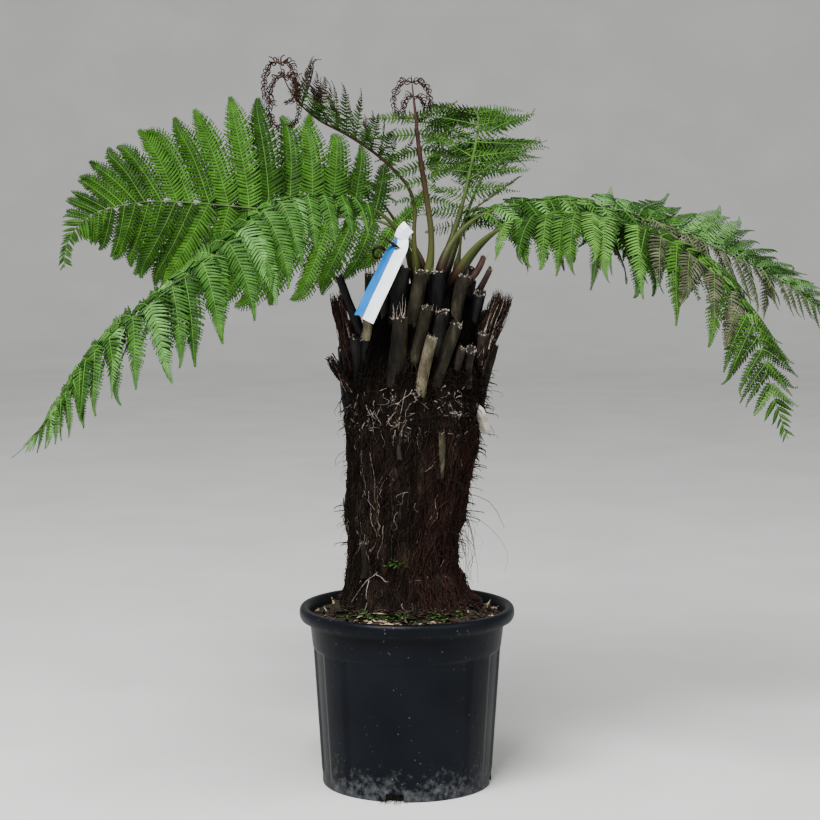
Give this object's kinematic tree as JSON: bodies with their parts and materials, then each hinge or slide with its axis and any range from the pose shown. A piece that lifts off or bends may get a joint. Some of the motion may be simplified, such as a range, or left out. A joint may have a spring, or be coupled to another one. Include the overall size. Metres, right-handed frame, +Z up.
{
  "type": "tree fern",
  "caption": "Potted tree fern: a short fibrous trunk with cut frond bases, a crown of arching feathery fronds, and young fronds still unrolling at its top.",
  "frame": {"origin": "middle of the pot's flat underside, on the ground", "axes": "+Z up, +X to the right of the viewer who stands in front, +Y away from that viewer"},
  "size_m": [1.3479, 0.9505, 1.2222],
  "materials": {
    "pot_plastic": "moulded black plastic with a soft sheen, chalky at its foot",
    "potting_soil": "dark bark compost with straw and moss on top",
    "trunk_fibre": "matted brown roots and cut frond bases",
    "mature_frond": "soft green leaf, satin above and matte below",
    "young_frond": "fresh green leaf with purple-brown curled tips",
    "new_growth": "dark brown hairy coil",
    "label_plastic": "bare thin plastic band, pale and bright blue",
    "tag_plastic": "bare pale plastic slip"
  },
  "bodies": {
    "root": {"pot": "pot_plastic", "potting_soil": "potting_soil", "trunk": "trunk_fibre", "crozier": "new_growth", "label_band": "label_plastic", "trunk_tag": "tag_plastic", "left_back_frond_inner": "mature_frond", "left_back_frond_outer": "mature_frond", "left_front_frond_inner": "mature_frond", "left_front_frond_outer": "mature_frond", "right_back_frond_inner": "mature_frond", "right_back_frond_outer": "mature_frond", "right_front_frond_inner": "mature_frond", "right_front_frond_outer": "mature_frond", "rear_frond_inner": "mature_frond", "rear_frond_outer": "mature_frond", "rear_right_frond_inner": "mature_frond", "rear_right_frond_outer": "mature_frond", "far_left_frond_inner": "mature_frond", "far_left_frond_outer": "mature_frond", "far_right_frond_inner": "mature_frond", "far_right_frond_outer": "mature_frond", "young_left_frond_inner": "young_frond", "young_left_frond_outer": "young_frond", "young_middle_frond": "young_frond", "young_right_frond": "young_frond"}
  },
  "joints": []
}
